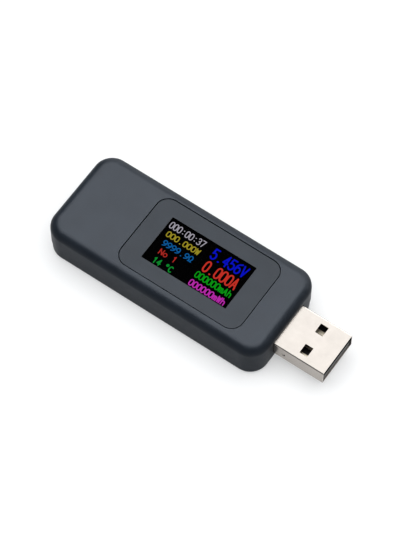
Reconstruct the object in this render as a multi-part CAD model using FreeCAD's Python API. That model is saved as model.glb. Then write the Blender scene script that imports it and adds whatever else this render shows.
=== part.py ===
# USB power meter: a plug-through tester with a colour display, a plug at one end and a socket at the other.
# The meter lies flat with its display up. +X runs from the socket to the plug, and +Z is up. The origin is
# the centre of the footprint of the whole meter, plug included, on its base. All sizes are in millimetres.
import FreeCAD, Part
import math
import os

PAST = 1.0  # how far a cutting shape reaches past what it cuts
ROOT = 0.5  # how far a rib or post reaches into the wall that it stands on

# Casing
BODY_LENGTH = 59.4
BODY_WIDTH = 25.6
BODY_HEIGHT = 11.4
CORNER_RADIUS = 4.8
SEAM_Z = 4.2  # parting line between the lower case and the cover
CASE_STEP = 0.2  # the lower case stands this far inside the cover's edge
COVER_EDGE_RADIUS = 2.5
CASE_EDGE_RADIUS = 1.3
WALL = 1.6
FLOOR = 1.5
CEILING_Z = 10.0

# Lower case's locating lip and its catches
LIP_HEIGHT = 0.8
LIP_THICKNESS = 0.7
LIP_GAP = 0.1
CATCH_LENGTH = 4.0
CATCH_HEIGHT = 0.4
CATCH_PROUD = 0.25
CATCH_RISE = 0.25  # from the parting line to the catch
CATCH_CENTRES_X = (-20.0, 8.0)

# Face panel and window
PANEL_X = -1.35
PANEL_LENGTH = 33.4
PANEL_WIDTH = 20.25
PANEL_RADIUS = 3.1
PANEL_TOP_Z = 11.35
PANEL_THICKNESS = 0.5
PANEL_EDGE_RADIUS = 0.12
PANEL_GAP = 0.13  # shadow gap all round the panel
ADHESIVE = 0.1
WINDOW_X = -1.5
WINDOW_LENGTH = 23.1
WINDOW_WIDTH = 12.45
WINDOW_GAP = 0.05

# Display module
GLASS_LENGTH = 27.8
GLASS_WIDTH = 14.0
GLASS_THICKNESS = 0.35
GLASS_OFFSET_X = -1.3  # the glass reaches further to the socket's side, where its driver sits
DRIVER_LEDGE = 2.5
POLARIZER_THICKNESS = 0.15
POLARIZER_MARGIN = 0.4
DRIVER_SIZE = (0.9, 11.0, 0.3)
GASKET_SETBACK = 0.1
DISPLAY_TOP_Z = 10.65
BACKLIGHT_WIDTH = 13.6
BACKLIGHT_THICKNESS = 0.8
APERTURE_GAP = 0.2  # between the glass and the opening in the cover
FLEX_WIDTH = 10.0
FLEX_THICKNESS = 0.12
FLEX_BEND = 0.9
FLEX_BOND = 1.5  # how far the flex is bonded under the glass
FLEX_OVERHANG = 0.6
FLEX_TAIL = 3.2
HOLDER_WIDTH = 15.0
HOLDER_LEDGE = 1.2
HOLDER_GAP = 0.05
HOLDER_RIM_Z = 9.7

# Main board
BOARD_TOP_Z = 5.5
BOARD_THICKNESS = 1.0
BOARD_EDGE_GAP = 0.25
POST_RADIUS = 1.5
PIN_RADIUS = 0.6
PIN_HEIGHT = 0.9
PIN_GAP = 0.1
BOSS_RADIUS = 1.3
BOSS_GAP = 0.05
CRADLE_LENGTH = 2.0
CRADLE_SETBACK = 2.5
POST_PLACES = ((-29.0, 8.7), (-29.0, -8.7), (15.0, 8.7), (15.0, -8.7))

# Plug (USB type A)
PLUG_EXPOSED = 13.3
PLUG_LENGTH = 18.75
PLUG_WIDTH = 12.0
PLUG_HEIGHT = 4.5
PLUG_Z = 5.8
SHELL_CORNER = 0.45
SHELL_INNER_CORNER = 0.15
SHELL_SEAM = 0.06  # where the bent sheet meets itself, under the plug
SHEET = 0.3
HOLE_LENGTH = 2.05
HOLE_WIDTH = 2.55
HOLE_FROM_BODY = 6.95
HOLE_Y = 3.12
DIMPLE_FROM_BODY = 2.7
DIMPLE_RADIUS = 0.6
DIMPLE_DEPTH = 0.26
TONGUE_RECESS = 0.25
CONTACT_PLACES_Y = (-3.5, -1.0, 1.0, 3.5)
CONTACT_WIDTH = 1.0
CONTACT_THICKNESS = 0.2
CONTACT_PROUD = 0.05  # the contacts stand this far out of the insulator
CONTACT_TAIL = 1.2  # how far the contacts reach over the board
INSULATOR_GAP = 0.1
OUTER_CONTACT_RECESS = 1.6
INNER_CONTACT_RECESS = 2.6

# Socket (USB type A)
SOCKET_LENGTH = 14.0
SOCKET_INNER_WIDTH = 12.5
SOCKET_INNER_HEIGHT = 5.12
SOCKET_RECESS = 0.25
SOCKET_TONGUE_WIDTH = 11.1
SOCKET_TONGUE_THICKNESS = 1.82
SOCKET_TONGUE_RECESS = 1.4
SOCKET_BLOCK = 2.4
CONTACT_SETBACK = 1.6
BUMP_REACH = 1.2
BUMP_DROP = 0.35
LEAF_SETBACK = 2.0
LEAF_LENGTH = 6.0
LEAF_WIDTH = 1.2
LEAF_THICKNESS = 0.24
LEAF_CREST = 3.6  # from the leaf's root to its deepest point
LEAF_REACH = 5.7  # from the leaf's root to its tip
LEAF_LIFT = 0.09  # how far the tip bends back into the wall's window
LEAF_GAP = 0.2
LEAF_DIP = 0.45
LEAF_Y = 3.4
LEG_LENGTH = 2.0
LEG_REACH = 1.4
SOCKET_LEGS_X = (-32.5, -24.5)
PLUG_LEGS_X = (19.5,)
OPENING_GAP = 0.1

# Side key and its switch
KEY_X = -6.7
KEY_Z = 6.6
KEY_LENGTH = 5.0
KEY_HEIGHT = 1.8
KEY_GAP = 0.15
KEY_FACE_Y = 12.75
KEY_BACK_Y = 10.05
KEY_EDGE_RADIUS = 0.25
KEY_WING = 0.8
KEY_WING_HEIGHT = 1.62
KEY_WING_FACE_Y = 10.95
SWITCH_LENGTH = 4.2
SWITCH_HEIGHT = 1.9
SWITCH_BACK_Y = 7.6
SWITCH_FACE_Y = 9.4
PLUNGER_LENGTH = 1.8
PLUNGER_HEIGHT = 1.0
PLUNGER_INNER_Y = 9.0
PLUNGER_GAP = 0.08
SWITCH_BACK_WALL = 0.5
SWITCH_COVER_THICKNESS = 0.15
DOME_RISE = 0.3
DOME_THICKNESS = 0.1

# Components on the board
SHUNT_X = 9.0
SHUNT_SIZE = (6.4, 3.2, 0.9)
SHUNT_END = 1.0
SHUNT_STANDOFF = 0.3
INDUCTOR_PLACE = (-8.0, 5.0)
INDUCTOR_RADIUS = 2.2
INDUCTOR_HEIGHT = 1.9
CHIPS = {  # name: (length, width and height), whether it is on the board's top face, and the places
    "controller_chip": ((7.0, 7.0, 1.4), True, ((-2.0, 0.0),)),
    "memory_chip": ((4.0, 5.0, 1.5), True, ((-9.5, 0.0),)),
    "crystal": ((3.2, 2.5, 0.8), True, ((5.0, 2.5),)),
    "thermistor": ((1.6, 0.8, 0.6), True, ((6.0, -1.5),)),
    "protection_diode": ((2.0, 4.2, 1.1), True, ((13.6, 0.0),)),
    "voltage_regulator": ((4.5, 2.5, 1.5), False, ((0.0, -5.5),)),
    "bulk_capacitor": ((6.0, 3.2, 2.2), False, ((-15.0, 0.0),)),
    "top_capacitors": ((1.6, 0.8, 0.8), True, ((-7.0, -4.6), (-4.0, -4.6), (3.0, -4.6), (6.0, -4.6))),
    "under_capacitors": ((1.6, 0.8, 0.8), False, ((-12.0, 8.5), (-4.0, 8.5), (4.0, 8.5), (8.0, 8.5))),
    "top_resistors": ((1.6, 0.8, 0.45), True, ((-10.0, 4.8), (-7.0, 4.8), (-4.0, 4.8), (0.0, 4.8))),
    "under_resistors": ((1.6, 0.8, 0.45), False, ((-16.0, -8.5), (-8.0, -8.5), (6.0, -8.5), (10.0, -8.5))),
}

# Values worked out from the driving dimensions
TOTAL_LENGTH = BODY_LENGTH + PLUG_EXPOSED
SOCKET_END_X = -TOTAL_LENGTH / 2
PLUG_END_X = SOCKET_END_X + BODY_LENGTH
BODY_X = (SOCKET_END_X + PLUG_END_X) / 2
TIP_X = TOTAL_LENGTH / 2
CASE_LENGTH = BODY_LENGTH - 2 * CASE_STEP
CASE_WIDTH = BODY_WIDTH - 2 * CASE_STEP
CAVITY_LENGTH = CASE_LENGTH - 2 * WALL
CAVITY_WIDTH = CASE_WIDTH - 2 * WALL
CAVITY_RADIUS = CORNER_RADIUS - CASE_STEP - WALL
CAVITY_START_X = BODY_X - CAVITY_LENGTH / 2
CAVITY_END_X = BODY_X + CAVITY_LENGTH / 2
PANEL_UNDER_Z = PANEL_TOP_Z - PANEL_THICKNESS
RECESS_Z = PANEL_UNDER_Z - ADHESIVE
GLASS_X = WINDOW_X + GLASS_OFFSET_X
GLASS_START_X = GLASS_X - GLASS_LENGTH / 2
GLASS_END_X = GLASS_X + GLASS_LENGTH / 2
FRONT_GLASS_START_X = GLASS_START_X + DRIVER_LEDGE
FRONT_GLASS_TOP_Z = DISPLAY_TOP_Z - POLARIZER_THICKNESS
REAR_GLASS_TOP_Z = FRONT_GLASS_TOP_Z - GLASS_THICKNESS
BACKLIGHT_TOP_Z = REAR_GLASS_TOP_Z - GLASS_THICKNESS
BACKLIGHT_Z = BACKLIGHT_TOP_Z - BACKLIGHT_THICKNESS
BOARD_Z = BOARD_TOP_Z - BOARD_THICKNESS
PLUG_START_X = TIP_X - PLUG_LENGTH
PLUG_TOP_Z = PLUG_Z + PLUG_HEIGHT / 2
PLUG_BOTTOM_Z = PLUG_Z - PLUG_HEIGHT / 2
PLUG_TONGUE_TOP_Z = BOARD_TOP_Z + CONTACT_THICKNESS - CONTACT_PROUD
SOCKET_START_X = SOCKET_END_X + SOCKET_RECESS
SOCKET_STOP_X = SOCKET_START_X + SOCKET_LENGTH
SOCKET_OUTER_WIDTH = SOCKET_INNER_WIDTH + 2 * SHEET
SOCKET_OUTER_HEIGHT = SOCKET_INNER_HEIGHT + 2 * SHEET
SOCKET_TOP_Z = PLUG_Z + SOCKET_OUTER_HEIGHT / 2
SOCKET_BOTTOM_Z = PLUG_Z - SOCKET_OUTER_HEIGHT / 2
SOCKET_TONGUE_Z = PLUG_Z + CONTACT_PROUD

UP = FreeCAD.Vector(0, 0, 1)
ALONG = FreeCAD.Vector(1, 0, 0)
ACROSS = FreeCAD.Vector(0, 1, 0)


def box(x_range, y_range, z_range):
    corner = FreeCAD.Vector(x_range[0], y_range[0], z_range[0])
    return Part.makeBox(
        x_range[1] - x_range[0], y_range[1] - y_range[0], z_range[1] - z_range[0], corner
    )


def around(centre, size):
    return (centre - size / 2, centre + size / 2)


def post(place, radius, z_range):
    base = FreeCAD.Vector(place[0], place[1], z_range[0])
    return Part.makeCylinder(radius, z_range[1] - z_range[0], base, UP)


def rounded_wire(centre, first, second, length, width, radius):
    """A rectangle with round corners, in the plane of two unit vectors."""
    edges = []
    last_end = None
    first_start = None
    turns = ((1, 1), (-1, 1), (-1, -1), (1, -1))
    for index, (side, end) in enumerate(turns):
        hub = centre + first * (side * (length / 2 - radius)) + second * (end * (width / 2 - radius))
        outward_first = first * (side * radius)
        outward_second = second * (end * radius)
        start, stop = hub + outward_first, hub + outward_second
        if index % 2:
            start, stop = stop, start
        middle = hub + (outward_first + outward_second) * math.sqrt(0.5)
        if last_end is not None and last_end.distanceToPoint(start) > 1e-6:
            edges.append(Part.LineSegment(last_end, start).toShape())
        if first_start is None:
            first_start = start
        edges.append(Part.Arc(start, middle, stop).toShape())
        last_end = stop
    if last_end.distanceToPoint(first_start) > 1e-6:
        edges.append(Part.LineSegment(last_end, first_start).toShape())
    return Part.Wire(edges)


def plate(centre, size, radius, z_range):
    """A flat plate with round corners, seen from above."""
    middle = FreeCAD.Vector(centre[0], centre[1], z_range[0])
    wire = rounded_wire(middle, ALONG, ACROSS, size[0], size[1], radius)
    return Part.Face(wire).extrude(UP * (z_range[1] - z_range[0]))


def bar(x_range, width, height, radius):
    """A bar with round corners that runs along the meter on the connectors' centre line."""
    middle = FreeCAD.Vector(x_range[0], 0, PLUG_Z)
    wire = rounded_wire(middle, ACROSS, UP, width, height, radius)
    return Part.Face(wire).extrude(ALONG * (x_range[1] - x_range[0]))


def pill(size, y_range):
    """A pill shape that runs across the meter on the side key's centre line."""
    middle = FreeCAD.Vector(KEY_X, y_range[0], KEY_Z)
    wire = rounded_wire(middle, ALONG, UP, size[0], size[1], size[1] * 0.49)
    return Part.Face(wire).extrude(ACROSS * (y_range[1] - y_range[0]))


def level_edges(shape, z):
    return [
        edge
        for edge in shape.Edges
        if abs(edge.BoundBox.ZMin - z) < 1e-4 and abs(edge.BoundBox.ZMax - z) < 1e-4
    ]


def strip(points, thickness, y_range):
    """A thin strip whose side view follows points (x, z), thickened to its left, or right if negative."""
    line = [FreeCAD.Vector(x, y_range[0], z) for x, z in points]
    normals = []
    for start, stop in zip(line, line[1:]):
        run = (stop - start).normalize()
        normals.append(FreeCAD.Vector(-run.z, 0, run.x))
    offsets = [normals[0]]
    for before, after in zip(normals, normals[1:]):
        offsets.append((before + after) * (1 / (1 + before.dot(after))))
    offsets.append(normals[-1])
    far_side = [point + offset * thickness for point, offset in zip(line, offsets)]
    outline = Part.makePolygon(line + far_side[::-1] + line[:1])
    return Part.Face(outline).extrude(ACROSS * (y_range[1] - y_range[0]))


def save(name, shapes):
    solids = [solid for shape in shapes for solid in shape.Solids]
    for solid in solids:
        if not solid.isValid() or solid.Volume <= 0:
            raise ValueError(name + " has a solid that isn't valid")
    shape = solids[0] if len(solids) == 1 else Part.makeCompound(solids)
    shape.exportStep(os.path.join("parts", name + ".step"))
    size = shape.optimalBoundingBox(False)
    print(
        "%-18s %2d solids  x %.2f %.2f  y %.2f %.2f  z %.2f %.2f"
        % (name, len(solids), size.XMin, size.XMax, size.YMin, size.YMax, size.ZMin, size.ZMax)
    )


def socket_opening(z_range):
    width = SOCKET_OUTER_WIDTH + 2 * OPENING_GAP
    return box((SOCKET_END_X - PAST, CAVITY_START_X + SOCKET_LENGTH), around(0, width), z_range)


def plug_opening(z_range):
    width = PLUG_WIDTH + 2 * OPENING_GAP
    return box((CAVITY_END_X - PAST, PLUG_END_X + PAST), around(0, width), z_range)


def display_aperture(z_range):
    length = GLASS_LENGTH + 2 * APERTURE_GAP
    width = GLASS_WIDTH + 2 * APERTURE_GAP
    return box(around(GLASS_X, length), around(0, width), z_range)


def cavity(z_range):
    return plate((BODY_X, 0), (CAVITY_LENGTH, CAVITY_WIDTH), CAVITY_RADIUS, z_range)


def lip(play):
    """The rim that stands up inside the cover, not yet hollow, or with play added, the step cut for it."""
    reach = LIP_THICKNESS + play
    size = (CAVITY_LENGTH + 2 * reach, CAVITY_WIDTH + 2 * reach)
    return plate((BODY_X, 0), size, CAVITY_RADIUS + reach, (SEAM_Z - ROOT, SEAM_Z + LIP_HEIGHT + play))


def catches(play):
    """The catches that hold the cover down, or with play added, the pockets that they snap into."""
    solids = []
    for x in CATCH_CENTRES_X:
        for side in (-1, 1):
            inner = side * CAVITY_WIDTH / 2
            outer = inner + side * (LIP_THICKNESS + CATCH_PROUD + play)
            foot_z = SEAM_Z + CATCH_RISE
            solids.append(
                box(
                    around(x, CATCH_LENGTH + 2 * play),
                    (min(inner, outer), max(inner, outer)),
                    (foot_z - play, foot_z + CATCH_HEIGHT + play),
                )
            )
    return solids


def top_cover():
    cover = plate((BODY_X, 0), (BODY_LENGTH, BODY_WIDTH), CORNER_RADIUS, (SEAM_Z, BODY_HEIGHT))
    cover = cover.makeFillet(COVER_EDGE_RADIUS, level_edges(cover, BODY_HEIGHT))
    recess = plate(
        (PANEL_X, 0),
        (PANEL_LENGTH + 2 * PANEL_GAP, PANEL_WIDTH + 2 * PANEL_GAP),
        PANEL_RADIUS + PANEL_GAP,
        (RECESS_Z, BODY_HEIGHT + PAST),
    )
    key_hole_size = (KEY_LENGTH + 2 * KEY_GAP, KEY_HEIGHT + 2 * KEY_GAP)
    key_hole = pill(key_hole_size, (CAVITY_WIDTH / 2 - PAST, BODY_WIDTH))
    cover = cover.cut(
        [
            cavity((SEAM_Z - PAST, CEILING_Z)),
            lip(LIP_GAP),
            recess,
            display_aperture((CEILING_Z - PAST, RECESS_Z + PAST)),
            socket_opening((SEAM_Z - PAST, SOCKET_TOP_Z + OPENING_GAP)),
            plug_opening((SEAM_Z - PAST, PLUG_TOP_Z + OPENING_GAP)),
            key_hole,
        ]
        + catches(LIP_GAP)
    )
    bosses = [post(place, BOSS_RADIUS, (BOARD_TOP_Z + BOSS_GAP, CEILING_Z + ROOT)) for place in POST_PLACES]
    socket_range = (BOARD_TOP_Z - PAST, BOARD_TOP_Z + PIN_HEIGHT + PIN_GAP)
    sockets = [post(place, PIN_RADIUS + PIN_GAP, socket_range) for place in POST_PLACES]
    return [cover.fuse(bosses).cut(sockets).removeSplitter()]


def bottom_case():
    case = plate((BODY_X, 0), (CASE_LENGTH, CASE_WIDTH), CORNER_RADIUS - CASE_STEP, (0, SEAM_Z))
    case = case.makeFillet(CASE_EDGE_RADIUS, level_edges(case, 0))
    case = case.fuse([lip(0)] + catches(0))
    case = case.cut(
        [
            cavity((FLOOR, SEAM_Z + LIP_HEIGHT + PAST)),
            socket_opening((SOCKET_BOTTOM_Z - OPENING_GAP, SEAM_Z + LIP_HEIGHT + PAST)),
            plug_opening((PLUG_BOTTOM_Z - OPENING_GAP, SEAM_Z + LIP_HEIGHT + PAST)),
        ]
    )
    posts = [post(place, POST_RADIUS, (FLOOR - ROOT, BOARD_Z)) for place in POST_PLACES]
    pins = [post(place, PIN_RADIUS, (FLOOR, BOARD_TOP_Z + PIN_HEIGHT)) for place in POST_PLACES]
    cradle_width = around(0, PLUG_WIDTH - 2 * SHELL_CORNER)
    cradles = [
        box(around(x, CRADLE_LENGTH), cradle_width, (FLOOR - ROOT, top))
        for x, top in (
            (CAVITY_START_X + CRADLE_SETBACK, SOCKET_BOTTOM_Z),
            (CAVITY_END_X - CRADLE_SETBACK, PLUG_BOTTOM_Z),
        )
    ]
    return [case.fuse(posts + pins + cradles).removeSplitter()]


def face_panel():
    size = (PANEL_LENGTH, PANEL_WIDTH)
    panel = plate((PANEL_X, 0), size, PANEL_RADIUS, (PANEL_UNDER_Z, PANEL_TOP_Z))
    panel = panel.makeFillet(PANEL_EDGE_RADIUS, level_edges(panel, PANEL_TOP_Z))
    window = box(
        around(WINDOW_X, WINDOW_LENGTH), around(0, WINDOW_WIDTH), (PANEL_UNDER_Z - PAST, PANEL_TOP_Z + PAST)
    )
    return [panel.cut(window)]


def panel_adhesive():
    sheet = plate((PANEL_X, 0), (PANEL_LENGTH, PANEL_WIDTH), PANEL_RADIUS, (RECESS_Z, PANEL_UNDER_Z))
    return [sheet.cut(display_aperture((RECESS_Z - PAST, PANEL_UNDER_Z + PAST)))]


def display_window():
    return [
        box(
            around(WINDOW_X, WINDOW_LENGTH - 2 * WINDOW_GAP),
            around(0, WINDOW_WIDTH - 2 * WINDOW_GAP),
            (PANEL_UNDER_Z, PANEL_TOP_Z - WINDOW_GAP),
        )
    ]


def display_gasket():
    outer = box(
        (FRONT_GLASS_START_X, GLASS_END_X), around(0, GLASS_WIDTH), (DISPLAY_TOP_Z, PANEL_UNDER_Z)
    )
    inner = box(
        around(WINDOW_X, WINDOW_LENGTH + 2 * GASKET_SETBACK),
        around(0, WINDOW_WIDTH + 2 * GASKET_SETBACK),
        (DISPLAY_TOP_Z - PAST, PANEL_UNDER_Z + PAST),
    )
    return [outer.cut(inner)]


def display_polarizer():
    margin = POLARIZER_MARGIN
    return [
        box(
            (FRONT_GLASS_START_X + margin, GLASS_END_X - margin),
            around(0, GLASS_WIDTH - 2 * margin),
            (FRONT_GLASS_TOP_Z, DISPLAY_TOP_Z),
        )
    ]


def display_front_glass():
    x_range = (FRONT_GLASS_START_X, GLASS_END_X)
    return [box(x_range, around(0, GLASS_WIDTH), (REAR_GLASS_TOP_Z, FRONT_GLASS_TOP_Z))]


def display_rear_glass():
    x_range = (GLASS_START_X, GLASS_END_X)
    return [box(x_range, around(0, GLASS_WIDTH), (BACKLIGHT_TOP_Z, REAR_GLASS_TOP_Z))]


def display_driver():
    length, width, height = DRIVER_SIZE
    return [
        box(
            around(GLASS_START_X + DRIVER_LEDGE / 2, length),
            around(0, width),
            (REAR_GLASS_TOP_Z, REAR_GLASS_TOP_Z + height),
        )
    ]


def display_backlight():
    x_range = (FRONT_GLASS_START_X, GLASS_END_X)
    return [box(x_range, around(0, BACKLIGHT_WIDTH), (BACKLIGHT_Z, BACKLIGHT_TOP_Z))]


def display_flex():
    """The ribbon that leaves the rear glass on the socket's side and folds down to the board."""
    top = BACKLIGHT_TOP_Z
    foot = BOARD_TOP_Z
    fold_x = GLASS_START_X - FLEX_OVERHANG
    outer, inner = FLEX_BEND, FLEX_BEND - FLEX_THICKNESS
    half = math.sqrt(0.5)

    def spot(x, z):
        return FreeCAD.Vector(x, -FLEX_WIDTH / 2, z)

    def line(a, b):
        return Part.LineSegment(spot(*a), spot(*b)).toShape()

    def arc(hub, radius, start, stop):
        """An arc round hub between two directions given as (x, z) signs."""
        first = (hub[0] + radius * start[0], hub[1] + radius * start[1])
        last = (hub[0] + radius * stop[0], hub[1] + radius * stop[1])
        middle = (
            hub[0] + radius * half * (start[0] + stop[0]),
            hub[1] + radius * half * (start[1] + stop[1]),
        )
        return Part.Arc(spot(*first), spot(*middle), spot(*last)).toShape()

    upper_hub = (fold_x + outer, top - outer)
    lower_hub = (fold_x + FLEX_THICKNESS - outer, foot + outer)
    start_x = GLASS_START_X + FLEX_BOND
    stop_x = fold_x - FLEX_TAIL
    edges = [
        line((start_x, top), (upper_hub[0], top)),
        arc(upper_hub, outer, (0, 1), (-1, 0)),
        line((fold_x, upper_hub[1]), (fold_x, lower_hub[1])),
        arc(lower_hub, inner, (1, 0), (0, -1)),
        line((lower_hub[0], foot + FLEX_THICKNESS), (stop_x, foot + FLEX_THICKNESS)),
        line((stop_x, foot + FLEX_THICKNESS), (stop_x, foot)),
        line((stop_x, foot), (lower_hub[0], foot)),
        arc(lower_hub, outer, (0, -1), (1, 0)),
        line((fold_x + FLEX_THICKNESS, lower_hub[1]), (fold_x + FLEX_THICKNESS, upper_hub[1])),
        arc(upper_hub, inner, (-1, 0), (0, 1)),
        line((upper_hub[0], top - FLEX_THICKNESS), (start_x, top - FLEX_THICKNESS)),
        line((start_x, top - FLEX_THICKNESS), (start_x, top)),
    ]
    return [Part.Face(Part.Wire(edges)).extrude(ACROSS * FLEX_WIDTH)]


def display_holder():
    """The frame that stands on the board and carries the display."""
    start_x, end_x = FRONT_GLASS_START_X, GLASS_END_X
    wall = (HOLDER_WIDTH - BACKLIGHT_WIDTH) / 2
    frame = box((start_x - wall, end_x + wall), around(0, HOLDER_WIDTH), (BOARD_TOP_Z, HOLDER_RIM_Z))
    pocket = box(
        (start_x - HOLDER_GAP, end_x + HOLDER_GAP),
        around(0, BACKLIGHT_WIDTH + 2 * HOLDER_GAP),
        (BACKLIGHT_Z, HOLDER_RIM_Z + PAST),
    )
    hollow = box(
        (start_x + HOLDER_LEDGE, end_x - HOLDER_LEDGE),
        around(0, BACKLIGHT_WIDTH - 2 * HOLDER_LEDGE),
        (BOARD_TOP_Z - PAST, HOLDER_RIM_Z + PAST),
    )
    return [frame.cut([pocket, hollow])]


def main_board():
    size = (CAVITY_LENGTH - 2 * BOARD_EDGE_GAP, CAVITY_WIDTH - 2 * BOARD_EDGE_GAP)
    board = plate((BODY_X, 0), size, CAVITY_RADIUS - BOARD_EDGE_GAP, (BOARD_Z, BOARD_TOP_Z))
    cut_range = (BOARD_Z - PAST, BOARD_TOP_Z + PAST)
    socket_width = SOCKET_OUTER_WIDTH + 2 * OPENING_GAP
    plug_width = PLUG_WIDTH + 2 * OPENING_GAP
    socket_notch = box((SOCKET_END_X, SOCKET_STOP_X + OPENING_GAP), around(0, socket_width), cut_range)
    plug_notch = box((PLUG_START_X - OPENING_GAP, PLUG_END_X), around(0, plug_width), cut_range)
    holes = [post(place, PIN_RADIUS + PIN_GAP, cut_range) for place in POST_PLACES]
    return [board.cut([socket_notch, plug_notch] + holes)]


def legs(half_width, places_x):
    """Solder legs that reach out from a connector's shell over the board."""
    z_range = (BOARD_TOP_Z, BOARD_TOP_Z + SHEET)
    solids = []
    for x in places_x:
        for side in (-1, 1):
            inner = side * (half_width - SHEET / 2)
            outer = side * (half_width + LEG_REACH)
            solids.append(box(around(x, LEG_LENGTH), (min(inner, outer), max(inner, outer)), z_range))
    return solids


def plug_shell():
    outer = bar((PLUG_START_X, TIP_X), PLUG_WIDTH, PLUG_HEIGHT, SHELL_CORNER)
    inner = bar(
        (PLUG_START_X - PAST, TIP_X + PAST),
        PLUG_WIDTH - 2 * SHEET,
        PLUG_HEIGHT - 2 * SHEET,
        SHELL_INNER_CORNER,
    )
    hole_x = PLUG_END_X + HOLE_FROM_BODY
    holes = [
        box(around(hole_x, HOLE_LENGTH), around(side * HOLE_Y, HOLE_WIDTH), z_range)
        for side in (-1, 1)
        for z_range in (around(PLUG_TOP_Z, 2 * PAST), around(PLUG_BOTTOM_Z, 2 * PAST))
    ]
    dimple_x = PLUG_END_X + DIMPLE_FROM_BODY
    dimple_y = PLUG_WIDTH / 2 + DIMPLE_RADIUS - DIMPLE_DEPTH
    dimples = [
        Part.makeSphere(DIMPLE_RADIUS, FreeCAD.Vector(dimple_x, side * dimple_y, PLUG_Z))
        for side in (-1, 1)
    ]
    seam = box((PLUG_START_X - PAST, TIP_X + PAST), around(0, SHELL_SEAM), around(PLUG_BOTTOM_Z, 2 * PAST))
    shell = outer.cut([inner, seam] + holes + dimples)
    return [shell.fuse(legs(PLUG_WIDTH / 2, PLUG_LEGS_X)).removeSplitter()]


def plug_contacts():
    solids = []
    for y in CONTACT_PLACES_Y:
        recess = OUTER_CONTACT_RECESS if abs(y) > 2 else INNER_CONTACT_RECESS
        solids.append(
            box(
                (PLUG_START_X - CONTACT_TAIL, TIP_X - recess),
                around(y, CONTACT_WIDTH),
                (BOARD_TOP_Z, BOARD_TOP_Z + CONTACT_THICKNESS),
            )
        )
    return solids


def plug_insulator():
    y_range = around(0, PLUG_WIDTH - 2 * SHEET - 2 * INSULATOR_GAP)
    bottom = PLUG_BOTTOM_Z + SHEET + INSULATOR_GAP
    top = PLUG_TOP_Z - SHEET - INSULATOR_GAP
    tongue = box((PLUG_START_X, TIP_X - TONGUE_RECESS), y_range, (bottom, PLUG_TONGUE_TOP_Z))
    block = box((PLUG_START_X, PLUG_END_X - CASE_STEP), y_range, (bottom, top))
    return [tongue.fuse(block).cut(plug_contacts()).removeSplitter()]


def socket_leaf(y, side):
    """A spring leaf that leans from the socket's upper wall (side 1) or lower wall (-1) into its mouth."""
    wall_z = PLUG_Z + side * (SOCKET_INNER_HEIGHT / 2)
    root_x = SOCKET_START_X + LEAF_SETBACK + LEAF_LENGTH
    points = [
        (root_x + SHEET, wall_z),
        (root_x, wall_z),
        (root_x - LEAF_CREST, wall_z - side * LEAF_DIP),
        (root_x - LEAF_REACH, wall_z + side * LEAF_LIFT),
    ]
    return strip(points, -side * LEAF_THICKNESS, around(y, LEAF_WIDTH))


def socket_shell():
    outer = bar((SOCKET_START_X, SOCKET_STOP_X), SOCKET_OUTER_WIDTH, SOCKET_OUTER_HEIGHT, SHELL_CORNER)
    inner = bar(
        (SOCKET_START_X - PAST, SOCKET_STOP_X + PAST),
        SOCKET_INNER_WIDTH,
        SOCKET_INNER_HEIGHT,
        SHELL_INNER_CORNER,
    )
    shell = outer.cut(inner)
    windows = []
    leaves = []
    for side in (-1, 1):
        wall_z = PLUG_Z + side * (SOCKET_INNER_HEIGHT / 2 + SHEET / 2)
        for y in (-LEAF_Y, LEAF_Y):
            windows.append(
                box(
                    (SOCKET_START_X + LEAF_SETBACK, SOCKET_START_X + LEAF_SETBACK + LEAF_LENGTH),
                    around(y, LEAF_WIDTH + 2 * LEAF_GAP),
                    around(wall_z, SHEET * 2),
                )
            )
            leaves.append(socket_leaf(y, side))
    shell = shell.cut(windows).fuse(leaves)
    return [shell.fuse(legs(SOCKET_OUTER_WIDTH / 2, SOCKET_LEGS_X)).removeSplitter()]


def socket_contacts():
    """Four springs under the tongue, each with a bump near the mouth and a foot on the board."""
    under = SOCKET_TONGUE_Z - CONTACT_THICKNESS
    foot_z = BOARD_TOP_Z + CONTACT_THICKNESS
    front = SOCKET_START_X + SOCKET_TONGUE_RECESS + CONTACT_SETBACK
    points = [
        (SOCKET_STOP_X + CONTACT_TAIL, foot_z - CONTACT_THICKNESS),
        (SOCKET_STOP_X + 2 * CONTACT_THICKNESS, foot_z - CONTACT_THICKNESS),
        (SOCKET_STOP_X + OPENING_GAP, under),
        (front + 2 * BUMP_REACH, under),
        (front + BUMP_REACH, under - BUMP_DROP),
        (front, under),
    ]
    return [strip(points, -CONTACT_THICKNESS, around(y, CONTACT_WIDTH)) for y in CONTACT_PLACES_Y]


def socket_insulator():
    """The rear block and the tongue, with a groove under the tongue for each spring."""
    block = box(
        (SOCKET_STOP_X - SOCKET_BLOCK, SOCKET_STOP_X),
        around(0, SOCKET_INNER_WIDTH - 2 * INSULATOR_GAP),
        around(PLUG_Z, SOCKET_INNER_HEIGHT - 2 * INSULATOR_GAP),
    )
    tongue = box(
        (SOCKET_START_X + SOCKET_TONGUE_RECESS, SOCKET_STOP_X),
        around(0, SOCKET_TONGUE_WIDTH),
        (SOCKET_TONGUE_Z, SOCKET_TONGUE_Z + SOCKET_TONGUE_THICKNESS),
    )
    return [block.fuse(tongue).cut(socket_contacts()).removeSplitter()]


def key_cap():
    cap = pill((KEY_LENGTH, KEY_HEIGHT), (KEY_BACK_Y, KEY_FACE_Y))
    face_edges = [edge for edge in cap.Edges if edge.BoundBox.YMin > KEY_FACE_Y - 1e-4]
    cap = cap.makeFillet(KEY_EDGE_RADIUS, face_edges)
    wings = box(
        around(KEY_X, KEY_LENGTH + 2 * KEY_WING),
        (KEY_BACK_Y, KEY_WING_FACE_Y),
        around(KEY_Z, KEY_WING_HEIGHT),
    )
    return [cap.fuse(wings).removeSplitter()]


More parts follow.
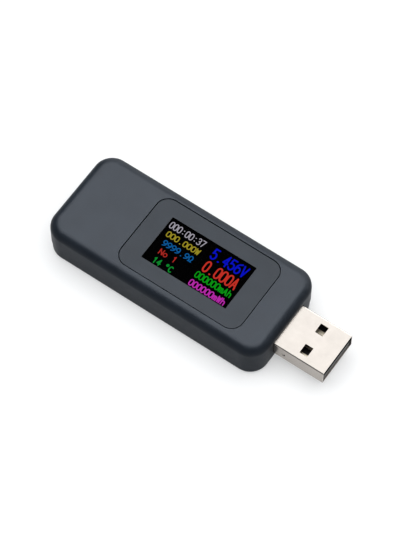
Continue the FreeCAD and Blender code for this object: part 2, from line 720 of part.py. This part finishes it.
def switch_bore(margin, y_range):
    return box(
        around(KEY_X, PLUNGER_LENGTH + 2 * margin), y_range, around(KEY_Z, PLUNGER_HEIGHT + 2 * margin)
    )


def switch_body():
    body = box(
        around(KEY_X, SWITCH_LENGTH),
        (SWITCH_BACK_Y, SWITCH_FACE_Y),
        (BOARD_TOP_Z, BOARD_TOP_Z + SWITCH_HEIGHT),
    )
    return [body.cut(switch_bore(PLUNGER_GAP, (SWITCH_BACK_Y + SWITCH_BACK_WALL, SWITCH_FACE_Y + PAST)))]


def switch_plunger():
    return [switch_bore(0, (PLUNGER_INNER_Y, KEY_BACK_Y))]


def switch_dome():
    """The snap dome: a shallow slice of a sphere, convex towards the plunger."""
    half_span = PLUNGER_HEIGHT / 2
    radius = (half_span**2 + DOME_RISE**2) / (2 * DOME_RISE)
    foot_y = SWITCH_BACK_Y + SWITCH_BACK_WALL
    hub = FreeCAD.Vector(KEY_X, foot_y + DOME_RISE - radius, KEY_Z)
    skin = Part.makeSphere(radius, hub).cut(Part.makeSphere(radius - DOME_THICKNESS, hub))
    keep = box(around(KEY_X, 2 * radius), (foot_y, foot_y + radius), around(KEY_Z, 2 * radius))
    return [skin.common(keep)]


def switch_cover():
    """The metal plate over the switch's face, open where the plunger comes out."""
    cover = box(
        around(KEY_X, SWITCH_LENGTH),
        (SWITCH_FACE_Y, SWITCH_FACE_Y + SWITCH_COVER_THICKNESS),
        (BOARD_TOP_Z + PIN_GAP, BOARD_TOP_Z + SWITCH_HEIGHT),
    )
    return [cover.cut(switch_bore(PLUNGER_GAP, (SWITCH_FACE_Y - PAST, SWITCH_FACE_Y + PAST)))]


def chip(centre, size, above):
    """A component that lies on the board, on its top face or under it."""
    z_range = (BOARD_TOP_Z, BOARD_TOP_Z + size[2]) if above else (BOARD_Z - size[2], BOARD_Z)
    return box(around(centre[0], size[0]), around(centre[1], size[1]), z_range)


def shunt_resistor():
    """A metal strip that stands off the board's underside on two end blocks."""
    length, width, height = SHUNT_SIZE
    ends = [
        chip((SHUNT_X + side * (length - SHUNT_END) / 2, 0), (SHUNT_END, width, SHUNT_STANDOFF), False)
        for side in (-1, 1)
    ]
    bridge_range = (BOARD_Z - height, BOARD_Z - SHUNT_STANDOFF)
    bridge = box(around(SHUNT_X, length), around(0, width), bridge_range)
    return [bridge.fuse(ends).removeSplitter()]


def inductor():
    return [post(INDUCTOR_PLACE, INDUCTOR_RADIUS, (BOARD_Z - INDUCTOR_HEIGHT, BOARD_Z))]


PIECES = (
    top_cover,
    bottom_case,
    face_panel,
    panel_adhesive,
    display_window,
    display_gasket,
    display_polarizer,
    display_front_glass,
    display_rear_glass,
    display_driver,
    display_backlight,
    display_flex,
    display_holder,
    main_board,
    plug_shell,
    plug_insulator,
    plug_contacts,
    socket_shell,
    socket_insulator,
    socket_contacts,
    key_cap,
    switch_body,
    switch_plunger,
    switch_dome,
    switch_cover,
    shunt_resistor,
    inductor,
)

os.makedirs("parts", exist_ok=True)
for piece in PIECES:
    save(piece.__name__, piece())
for name, (size, above, places) in CHIPS.items():
    save(name, [chip(place, size, above) for place in places])
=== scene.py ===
"""USB power meter: materials, readouts, light and camera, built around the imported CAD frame."""

import math

import bmesh
import bpy
from mathutils import Matrix, Vector


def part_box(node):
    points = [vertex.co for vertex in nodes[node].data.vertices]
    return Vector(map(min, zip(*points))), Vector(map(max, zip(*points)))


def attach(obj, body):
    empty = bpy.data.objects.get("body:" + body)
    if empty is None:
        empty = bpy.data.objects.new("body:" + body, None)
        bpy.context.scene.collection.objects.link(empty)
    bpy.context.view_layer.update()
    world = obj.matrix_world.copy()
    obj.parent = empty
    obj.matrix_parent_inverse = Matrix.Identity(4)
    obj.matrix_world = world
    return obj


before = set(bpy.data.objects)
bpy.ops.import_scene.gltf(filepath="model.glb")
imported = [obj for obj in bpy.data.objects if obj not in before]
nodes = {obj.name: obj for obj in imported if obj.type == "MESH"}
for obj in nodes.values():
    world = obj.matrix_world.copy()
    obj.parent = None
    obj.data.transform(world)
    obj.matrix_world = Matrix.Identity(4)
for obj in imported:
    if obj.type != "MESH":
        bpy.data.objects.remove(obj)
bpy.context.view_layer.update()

MM = 0.001


# ---------------------------------------------------------------------------
# Node materials
# ---------------------------------------------------------------------------
class Recipe:
    """A material whose texture nodes all read the meter's own coordinates, in millimetres."""

    def __init__(self, name):
        self.material = bpy.data.materials.new(name)
        self.material.use_nodes = True
        self.tree = self.material.node_tree
        self.shader = self.tree.nodes["Principled BSDF"]
        self.output = self.tree.nodes["Material Output"]
        place = self.tree.nodes.new("ShaderNodeTexCoord")
        scale = self.tree.nodes.new("ShaderNodeVectorMath")
        scale.operation = "SCALE"
        scale.inputs["Scale"].default_value = 1 / MM
        self.link(place.outputs["Object"], scale.inputs[0])
        self.place = scale.outputs[0]

    def link(self, source, target):
        self.tree.links.new(source, target)

    def set(self, **values):
        """Fixed values for the shader's own sockets."""
        for name, value in values.items():
            socket = self.shader.inputs[name.replace("_", " ")]
            socket.default_value = (*value, 1) if isinstance(value, tuple) else value

    def stretch(self, factors):
        """The place with each axis multiplied, for a grain that runs one way."""
        node = self.tree.nodes.new("ShaderNodeVectorMath")
        node.operation = "MULTIPLY"
        node.inputs[1].default_value = factors
        self.link(self.place, node.inputs[0])
        return node.outputs[0]

    def noise(self, size, detail=2.0, vector=None):
        """Soft noise whose spots are about size millimetres across."""
        node = self.tree.nodes.new("ShaderNodeTexNoise")
        node.inputs["Scale"].default_value = 1 / size
        node.inputs["Detail"].default_value = detail
        self.link(vector or self.place, node.inputs["Vector"])
        return node.outputs["Fac"]

    def cells(self, size, vector=None):
        """The distance to the nearest of scattered points, size millimetres apart."""
        node = self.tree.nodes.new("ShaderNodeTexVoronoi")
        node.inputs["Scale"].default_value = 1 / size
        self.link(vector or self.place, node.inputs["Vector"])
        return node.outputs["Distance"]

    def spread(self, value, low, high, start=0.3, end=0.7):
        """The value taken from start..end to low..high."""
        node = self.tree.nodes.new("ShaderNodeMapRange")
        node.inputs["From Min"].default_value = start
        node.inputs["From Max"].default_value = end
        node.inputs["To Min"].default_value = low
        node.inputs["To Max"].default_value = high
        self.link(value, node.inputs["Value"])
        return node.outputs["Result"]

    def mix(self, value, first, second):
        """A colour between first and second, which are colours or sockets."""
        node = self.tree.nodes.new("ShaderNodeMix")
        node.data_type = "RGBA"
        self.link(value, node.inputs["Factor"])
        for name, colour in (("A", first), ("B", second)):
            socket = [s for s in node.inputs if s.name == name and s.type == "RGBA"][0]
            if isinstance(colour, tuple):
                socket.default_value = (*colour, 1)
            else:
                self.link(colour, socket)
        return [s for s in node.outputs if s.type == "RGBA"][0]

    def math(self, operation, first, second=0.0):
        node = self.tree.nodes.new("ShaderNodeMath")
        node.operation = operation
        for socket, value in zip(node.inputs, (first, second)):
            if isinstance(value, (int, float)):
                socket.default_value = value
            else:
                self.link(value, socket)
        return node.outputs[0]

    def bump(self, *layers):
        """Bumps laid over each other: pairs of a height and its depth in millimetres."""
        normal = None
        for height, depth in layers:
            node = self.tree.nodes.new("ShaderNodeBump")
            node.inputs["Distance"].default_value = depth * MM
            self.link(height, node.inputs["Height"])
            if normal is not None:
                self.link(normal, node.inputs["Normal"])
            normal = node.outputs["Normal"]
        self.link(normal, self.shader.inputs["Normal"])

    def colour(self, socket):
        self.link(socket, self.shader.inputs["Base Color"])

    def roughness(self, socket):
        self.link(socket, self.shader.inputs["Roughness"])


def moulded_plastic(name, colour, rough, specular=0.5, grain=0.12, depth=0.004):
    """Injection-moulded plastic with a fine spark-eroded grain and a faint flow variation."""
    recipe = Recipe(name)
    lighter = tuple(channel * 1.07 for channel in colour)
    darker = tuple(channel * 0.93 for channel in colour)
    recipe.colour(recipe.mix(recipe.spread(recipe.noise(6.0), 0, 1), darker, lighter))
    recipe.roughness(recipe.spread(recipe.noise(1.5, 4), rough - 0.03, rough + 0.03))
    recipe.bump((recipe.cells(grain), depth), (recipe.noise(grain * 3, 3), depth))
    recipe.set(Specular_IOR_Level=specular)
    return recipe


def sheet_metal(name, colour, rough, streaks=0.002):
    """Rolled and plated sheet: streaks along the meter, small pits and cloudy patches."""
    recipe = Recipe(name)
    along = recipe.stretch((0.06, 1, 1))
    streak = recipe.noise(0.12, 3, along)
    cloud = recipe.noise(2.2, 3)
    darker = tuple(channel * 0.93 for channel in colour)
    recipe.colour(recipe.mix(recipe.spread(cloud, 0, 1), darker, colour))
    shine = recipe.math("ADD", recipe.spread(cloud, rough, rough + 0.05), recipe.spread(streak, 0, 0.06))
    recipe.roughness(shine)
    recipe.bump((streak, streaks), (recipe.noise(0.5, 2), streaks))
    recipe.set(Metallic=1.0)
    return recipe


def plain_grain(name, colour, rough, metallic=0.0, size=0.3, depth=0.003):
    """A simple part's finish: a little colour variation and a fine bump."""
    recipe = Recipe(name)
    darker = tuple(channel * 0.8 for channel in colour)
    recipe.colour(recipe.mix(recipe.spread(recipe.noise(size * 4, 3), 0, 1), darker, colour))
    recipe.roughness(recipe.spread(recipe.noise(size), rough - 0.04, rough + 0.04))
    recipe.bump((recipe.noise(size, 3), depth))
    recipe.set(Metallic=metallic)
    return recipe


def panel_finish():
    """The face panel's plastic, with its window opening inked black."""
    recipe = moulded_plastic("panel_plastic_finish", PANEL_COLOUR, 0.40, 0.15, grain=0.08, depth=0.002)
    low, high = (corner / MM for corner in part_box("display_window"))
    split = recipe.tree.nodes.new("ShaderNodeSeparateXYZ")
    recipe.link(recipe.place, split.inputs[0])
    inside = []
    for axis in ("X", "Y"):
        index = "XYZ".index(axis)
        middle, half = (low[index] + high[index]) / 2, (high[index] - low[index]) / 2 + INK_REACH
        off_centre = recipe.math("ABSOLUTE", recipe.math("SUBTRACT", split.outputs[axis], middle))
        inside.append(recipe.math("LESS_THAN", off_centre, half))
    inked = recipe.math("MULTIPLY", *inside)
    plain = recipe.shader.inputs["Base Color"].links[0].from_socket
    recipe.colour(recipe.mix(inked, plain, (0.001, 0.001, 0.001)))
    return recipe


def board_finish():
    """Green solder mask over copper tracks that show as a faint relief."""
    recipe = Recipe("board_finish")
    cells = recipe.cells(2.2, recipe.stretch((1, 1.6, 0.01)))
    bare, track = (0.006, 0.05, 0.022), (0.01, 0.09, 0.035)
    recipe.colour(recipe.mix(recipe.spread(cells, 0, 1, 0.30, 0.36), bare, track))
    recipe.roughness(recipe.spread(recipe.noise(0.6), 0.25, 0.35))
    recipe.bump((recipe.spread(cells, 0, 1, 0.30, 0.36), 0.02))
    return recipe


SHELL_COLOUR = (0.027, 0.033, 0.042)
PANEL_COLOUR = (0.027, 0.032, 0.039)
INK_REACH = 0.08  # millimetres past the window pane to the opening's wall
shell_plastic = moulded_plastic("shell_plastic_finish", SHELL_COLOUR, 0.36, 0.17)
key_plastic = moulded_plastic("key_plastic_finish", (0.012, 0.014, 0.018), 0.4, 0.35)
plug_steel = sheet_metal("plug_steel_finish", (0.475, 0.445, 0.415), 0.16)
contact_gold = plain_grain("contact_gold_finish", (0.78, 0.72, 0.60), 0.45, metallic=1.0)
black_insulator = moulded_plastic("black_insulator_finish", (0.012, 0.012, 0.013), 0.35)


def window_finish():
    """A thin clear pane: see-through on its faces, with a faint gloss, and inked black round its edge."""
    recipe = Recipe("window_finish")
    recipe.set(Base_Color=(0.002, 0.002, 0.002), Specular_IOR_Level=0.05)
    recipe.roughness(recipe.spread(recipe.noise(3.0), 0.14, 0.18))
    geometry = recipe.tree.nodes.new("ShaderNodeNewGeometry")
    split = recipe.tree.nodes.new("ShaderNodeSeparateXYZ")
    recipe.link(geometry.outputs["Normal"], split.inputs[0])
    upright = recipe.math("ABSOLUTE", split.outputs["Z"])
    flat_face = recipe.math("GREATER_THAN", upright, 0.5)
    recipe.link(recipe.spread(flat_face, 1.0, 0.1, 0.0, 1.0), recipe.shader.inputs["Alpha"])
    return recipe


def dark_film():
    """The polarizer over the display, black where nothing is lit."""
    recipe = Recipe("polarizer_finish")
    recipe.colour(recipe.mix(recipe.noise(1.0), (0.0015, 0.0015, 0.0015), (0.0025, 0.0025, 0.003)))
    recipe.roughness(recipe.spread(recipe.noise(0.5), 0.5, 0.6))
    recipe.set(Specular_IOR_Level=0.0)
    return recipe


FINISHES = {
    "top_cover": shell_plastic,
    "bottom_case": shell_plastic,
    "face_panel": panel_finish(),
    "key_cap": key_plastic,
    "switch_plunger": key_plastic,
    "display_window": window_finish(),
    "display_polarizer": dark_film(),
    "display_gasket": plain_grain("foam_finish", (0.004, 0.004, 0.004), 0.8, size=0.15, depth=0.02),
    "plug_shell": plug_steel,
    "socket_shell": plug_steel,
    "plug_contacts": contact_gold,
    "socket_contacts": contact_gold,
    "plug_insulator": black_insulator,
    "socket_insulator": moulded_plastic("white_insulator_finish", (0.62, 0.61, 0.58), 0.35),
    "main_board": board_finish(),
}
GROUPED_FINISHES = (
    (plain_grain("adhesive_finish", (0.30, 0.30, 0.27), 0.3), ("panel_adhesive",)),
    (
        plain_grain("display_glass_finish", (0.05, 0.055, 0.06), 0.08),
        ("display_front_glass", "display_rear_glass"),
    ),
    (plain_grain("light_guide_finish", (0.78, 0.79, 0.80), 0.3), ("display_backlight",)),
    (plain_grain("holder_finish", (0.60, 0.60, 0.57), 0.5), ("display_holder",)),
    (plain_grain("flex_finish", (0.42, 0.17, 0.03), 0.35), ("display_flex",)),
    (
        plain_grain("switch_steel_finish", (0.62, 0.61, 0.58), 0.3, 1.0),
        ("switch_dome", "switch_cover", "crystal"),
    ),
    (plain_grain("shunt_finish", (0.48, 0.42, 0.37), 0.35, 1.0), ("shunt_resistor",)),
    (plain_grain("ferrite_finish", (0.06, 0.058, 0.055), 0.7), ("inductor",)),
    (plain_grain("ceramic_finish", (0.38, 0.26, 0.15), 0.5), ("top_capacitors", "under_capacitors")),
    (
        plain_grain("epoxy_finish", (0.018, 0.018, 0.02), 0.55),
        (
            "display_driver",
            "switch_body",
            "controller_chip",
            "memory_chip",
            "thermistor",
            "protection_diode",
            "voltage_regulator",
            "bulk_capacitor",
            "top_resistors",
            "under_resistors",
        ),
    ),
)
for recipe, members in GROUPED_FINISHES:
    FINISHES.update(dict.fromkeys(members, recipe))
for node, recipe in FINISHES.items():
    for material_slot in nodes[node].material_slots:
        material_slot.material = recipe.material


# ---------------------------------------------------------------------------
# Readouts on the display
# ---------------------------------------------------------------------------
ARC_STEP = math.radians(18)


def arc(x, y, radius_x, radius_y, start, stop):
    """Points of an elliptic arc in a glyph's cell, between two angles in degrees."""
    first, last = math.radians(start), math.radians(stop)
    count = max(2, round(abs(last - first) / ARC_STEP))
    turns = [first + (last - first) * i / count for i in range(count + 1)]
    return [(x + radius_x * math.cos(turn), y + radius_y * math.sin(turn)) for turn in turns]


OVAL = arc(0.5, 0.7, 0.5, 0.3, 0, 180) + arc(0.5, 0.3, 0.5, 0.3, 180, 360) + [(1.0, 0.7)]
SIX = [[(0.85, 1.0)] + arc(0.6, 0.5, 0.6, 0.42, 110, 180) + arc(0.5, 0.3, 0.5, 0.3, 180, 520)]
GLYPHS = {
    "0": [OVAL],
    "1": [[(0.2, 0.78), (0.55, 1.0)], [(0.55, 1.0), (0.55, 0.0)]],
    "3": [arc(0.45, 0.75, 0.45, 0.25, 150, -90), arc(0.45, 0.27, 0.52, 0.27, 90, -150)],
    "4": [[(0.7, 0.0), (0.7, 1.0)], [(0.7, 1.0), (0.0, 0.3)], [(0.0, 0.3), (1.0, 0.3)]],
    "5": [[(0.95, 1.0), (0.12, 1.0)], [(0.12, 1.0), (0.06, 0.56)] + arc(0.45, 0.31, 0.52, 0.31, 120, -150)],
    "6": SIX,
    "7": [[(0.0, 1.0), (1.0, 1.0)], [(1.0, 1.0), (0.35, 0.0)]],
    "9": [[(1 - x, 1 - y) for x, y in stroke] for stroke in SIX],
    ".": [[(0.45, 0.04), (0.55, 0.04)]],
    ":": [[(0.45, 0.2), (0.55, 0.2)], [(0.45, 0.7), (0.55, 0.7)]],
    "V": [[(0.0, 1.0), (0.5, 0.0)], [(0.5, 0.0), (1.0, 1.0)]],
    "A": [[(0.0, 0.0), (0.5, 1.0)], [(0.5, 1.0), (1.0, 0.0)], [(0.18, 0.32), (0.82, 0.32)]],
    "W": [
        [(0.0, 1.0), (0.22, 0.0)],
        [(0.22, 0.0), (0.5, 0.8)],
        [(0.5, 0.8), (0.78, 0.0)],
        [(0.78, 0.0), (1.0, 1.0)],
    ],
    "O": [[(0.0, 0.0), (0.3, 0.0)] + arc(0.5, 0.6, 0.5, 0.4, 235, -55) + [(0.7, 0.0), (1.0, 0.0)]],
    "m": [
        [(0.0, 0.0), (0.0, 0.66)],
        arc(0.25, 0.44, 0.25, 0.22, 180, 0) + [(0.5, 0.0)],
        arc(0.75, 0.44, 0.25, 0.22, 180, 0) + [(1.0, 0.0)],
    ],
    "h": [[(0.08, 0.0), (0.08, 1.0)], arc(0.5, 0.4, 0.42, 0.26, 180, 0) + [(0.92, 0.0)]],
    "C": [arc(0.52, 0.5, 0.52, 0.5, 50, 310)],
    "'": [arc(0.5, 0.84, 0.26, 0.16, 0, 360)],
    "N": [[(0.0, 0.0), (0.0, 1.0)], [(0.0, 1.0), (1.0, 0.0)], [(1.0, 0.0), (1.0, 1.0)]],
    "o": [arc(0.5, 0.33, 0.5, 0.33, 0, 360)],
}
READOUT_LIFT = 0.02  # millimetres above the polarizer
READOUT_THICKNESS = 0.02
CAP_STEPS = 5
GLYPH_SHARE = 0.72  # the part of a cell's width that its glyph takes


def ribbon(mesh, points, radius, bottom, top):
    """A thin closed slab along a flat path, with round ends, added to a bmesh. Sizes are in millimetres."""
    path = [Vector(point) for point in points]
    path = [path[0]] + [b for a, b in zip(path, path[1:]) if (b - a).length > 1e-4]
    runs = [(b - a).normalized() for a, b in zip(path, path[1:])]
    sides = []
    for index in range(len(path)):
        before = runs[max(index - 1, 0)]
        after = runs[min(index, len(runs) - 1)]
        along = (before + after).normalized()
        width = radius / max(along.dot(after), 0.5)
        sides.append(Vector((-along.y, along.x)) * width)
    outline = [point + side for point, side in zip(path, sides)]
    outline += cap(path[-1], sides[-1], radius)
    outline += [point - side for point, side in reversed(list(zip(path, sides)))]
    outline += cap(path[0], -sides[0], radius)
    lower = [mesh.verts.new((p.x * MM, p.y * MM, bottom * MM)) for p in outline]
    upper = [mesh.verts.new((p.x * MM, p.y * MM, top * MM)) for p in outline]
    half = len(path)
    count = len(outline)
    for index in range(count):
        other = (index + 1) % count
        mesh.faces.new((lower[index], upper[index], upper[other], lower[other]))
    loop_end = half + CAP_STEPS - 1
    for index in range(half - 1):
        a, b = index, index + 1
        c, d = loop_end + half - 1 - b, loop_end + half - 1 - a
        mesh.faces.new((upper[a], upper[d], upper[c], upper[b]))
        mesh.faces.new((lower[a], lower[b], lower[c], lower[d]))
    for start in (half - 1, count - CAP_STEPS):
        ring = [(start + i) % count for i in range(CAP_STEPS + 1)]
        mesh.faces.new([upper[i] for i in reversed(ring)])
        mesh.faces.new([lower[i] for i in ring])


def cap(centre, side, radius):
    """The points of a half circle from one side of a ribbon's end to the other, without its two ends."""
    start = math.atan2(side.y, side.x)
    turns = [start - math.pi * i / CAP_STEPS for i in range(1, CAP_STEPS)]
    return [centre + Vector((math.cos(turn), math.sin(turn))) * radius for turn in turns]


def new_piece(name, mesh, recipe):
    """An object from a bmesh, with its material, that rides on the meter."""
    bmesh.ops.recalc_face_normals(mesh, faces=mesh.faces)
    data = bpy.data.meshes.new(name)
    mesh.to_mesh(data)
    mesh.free()
    piece = bpy.data.objects.new(name, data)
    bpy.context.scene.collection.objects.link(piece)
    data.materials.append(recipe.material)
    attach(piece, "meter")
    return piece


def lit_pixels(name, colour):
    """Light from the display, broken into fine pixels."""
    recipe = Recipe(name)
    strength = recipe.spread(recipe.cells(0.08), 1.1, 0.9, 0.1, 0.6)
    recipe.link(strength, recipe.shader.inputs["Emission Strength"])
    recipe.set(Base_Color=(0.0, 0.0, 0.0), Emission_Color=colour, Roughness=0.5, Specular_IOR_Level=0.0)
    return recipe


def readout(name, text, x_range, y_range, stroke, colour):
    """One line of figures. The text fills its box, in the meter's own millimetres, one cell a character."""
    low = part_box("display_polarizer")[1].z / MM + READOUT_LIFT
    mesh = bmesh.new()
    cell = (x_range[1] - x_range[0] - stroke) / (len(text) - 1 + GLYPH_SHARE)
    height = y_range[1] - y_range[0] - stroke
    for index, character in enumerate(text):
        left = x_range[0] + stroke / 2 + index * cell
        for points in GLYPHS[character]:
            placed = [
                (left + x * cell * GLYPH_SHARE, y_range[0] + stroke / 2 + y * height) for x, y in points
            ]
            ribbon(mesh, placed, stroke / 2, low, low + READOUT_THICKNESS)
    piece = new_piece(name, mesh, lit_pixels(name + "_light", colour))
    return piece


readout("readout_time", "000:00:37", (-12.75, -3.05), (3.75, 5.7), 0.3, (0.36, 0.345, 0.385))
readout("readout_power", "000.000W", (-12.05, -2.9), (1.5, 3.2), 0.32, (0.34, 0.29, 0.04))
readout("readout_resistance", "9999.9O", (-11.45, -3.15), (-0.9, 0.85), 0.32, (0.011, 0.135, 0.33))
readout("readout_group", "No", (-10.8, -8.5), (-3.15, -1.5), 0.3, (0.40, 0.043, 0.034))
readout("readout_group_number", "1", (-7.2, -6.1), (-3.15, -1.45), 0.3, (0.40, 0.043, 0.034))
readout("readout_temperature", "14", (-10.8, -8.5), (-5.75, -3.95), 0.36, (0.012, 0.27, 0.049))
readout("readout_temperature_unit", "'C", (-7.6, -5.3), (-5.75, -3.95), 0.36, (0.012, 0.27, 0.049))
readout("readout_voltage", "5.456V", (-0.65, 8.95), (2.5, 5.65), 0.45, (0.007, 0.016, 0.51))
readout("readout_current", "0.000A", (-0.35, 8.85), (-1.2, 2.05), 0.45, (0.51, 0.056, 0.039))
readout("readout_charge", "000000mAh", (-0.75, 9.15), (-3.4, -1.45), 0.34, (0.009, 0.315, 0.018))
readout("readout_energy", "000000mWh", (-0.75, 9.1), (-5.8, -3.95), 0.34, (0.465, 0.049, 0.405))


# ---------------------------------------------------------------------------
# Floor, light and camera
# ---------------------------------------------------------------------------
FLOOR_SIZE = 6.0
FLOOR_DROP = 0.02 * MM  # the case never shares the floor's plane


def make_floor():
    """A pale plain floor that also glows a little, so that it stays white under soft light."""
    mesh = bmesh.new()
    bmesh.ops.create_grid(mesh, x_segments=8, y_segments=8, size=FLOOR_SIZE / 2)
    data = bpy.data.meshes.new("floor")
    mesh.to_mesh(data)
    mesh.free()
    floor = bpy.data.objects.new("floor", data)
    floor.location.z = -FLOOR_DROP
    bpy.context.scene.collection.objects.link(floor)
    finish = Recipe("floor_finish")
    finish.colour(finish.mix(finish.noise(40.0), (0.49, 0.49, 0.49), (0.52, 0.52, 0.52)))
    finish.set(Roughness=1.0, Specular_IOR_Level=0.0, Emission_Color=(1.0, 1.0, 1.0), Emission_Strength=0.3)
    data.materials.append(finish.material)


def direction(azimuth, elevation):
    """The unit vector towards a place seen at that azimuth, which is 0 in front (-Y), and elevation."""
    turn, rise = math.radians(azimuth), math.radians(elevation)
    return Vector((math.sin(turn) * math.cos(rise), -math.cos(turn) * math.cos(rise), math.sin(rise)))


def softbox(name, azimuth, elevation, distance, size, radiance, glossy=True):
    """A square light aimed at the meter. radiance is the brightness of its face."""
    light = bpy.data.lights.new(name, "AREA")
    light.shape = "RECTANGLE"
    light.size, light.size_y = size
    light.energy = radiance * math.pi * size[0] * size[1]
    lamp = bpy.data.objects.new(name, light)
    bpy.context.scene.collection.objects.link(lamp)
    towards = direction(azimuth, elevation)
    lamp.location = towards * distance
    lamp.rotation_euler = towards.to_track_quat("Z", "Y").to_euler()
    lamp.visible_glossy = glossy
    return lamp


CASING = ("top_cover", "bottom_case", "face_panel", "key_cap")
KEY_SIZE = (1.5, 1.2)
SKY_COLOUR = (0.9, 0.95, 1.0)
SKY_STRENGTH = 0.27


def make_lights():
    """A ceiling, a backdrop and a key light, and a second key light that only the casing's plastic gets."""
    world = bpy.data.worlds.new("studio")
    world.use_nodes = True
    sky = world.node_tree.nodes["Background"]
    sky.inputs["Color"].default_value = (*SKY_COLOUR, 1)
    sky.inputs["Strength"].default_value = SKY_STRENGTH
    bpy.context.scene.world = world
    away = CAMERA_AZIMUTH + 180
    softbox("ceiling_light", 0, 90, distance=1.6, size=(2.4, 2.4), radiance=1.6, glossy=False)
    backdrop = softbox("backdrop_light", away - 40, 20, distance=1.2, size=(3.0, 1.2), radiance=2.0)
    key = softbox("key_light", away - 15, 80, distance=0.9, size=KEY_SIZE, radiance=1.19)
    casing_key = softbox("casing_light", away - 15, 80, distance=0.88, size=KEY_SIZE, radiance=4.45)
    for lamp in (key, casing_key, backdrop):
        lamp.visible_diffuse = False
    receivers = bpy.data.collections.new("casing_receivers")
    for node in CASING:
        receivers.objects.link(nodes[node])
    casing_key.light_linking.receiver_collection = receivers


CAMERA_AZIMUTH = 34.16
CAMERA_ELEVATION = 61.80
CAMERA_ROLL = 0.65
CAMERA_DISTANCE = 569 * MM
CAMERA_TARGET = Vector((1.25, 0.45, 11.4)) * MM
CAMERA_LENS = 169.7


def make_camera():
    turn = math.radians(CAMERA_AZIMUTH)
    back = direction(CAMERA_AZIMUTH, CAMERA_ELEVATION)
    level_right = Vector((math.cos(turn), math.sin(turn), 0))
    level_up = back.cross(level_right)
    roll = math.radians(CAMERA_ROLL)
    right = level_right * math.cos(roll) + level_up * math.sin(roll)
    up = back.cross(right)
    camera = bpy.data.cameras.new("camera")
    camera.lens = CAMERA_LENS
    camera.sensor_width = 36
    camera.clip_start = 0.01
    camera_object = bpy.data.objects.new("camera", camera)
    bpy.context.scene.collection.objects.link(camera_object)
    axes = Matrix((right, up, back)).transposed()
    camera_object.matrix_world = Matrix.LocRotScale(
        CAMERA_TARGET + back * CAMERA_DISTANCE, axes.to_quaternion(), None
    )
    bpy.context.scene.camera = camera_object


make_floor()
make_lights()
make_camera()
bpy.context.scene.view_settings.view_transform = "Standard"
bpy.context.scene.view_settings.look = "High Contrast"
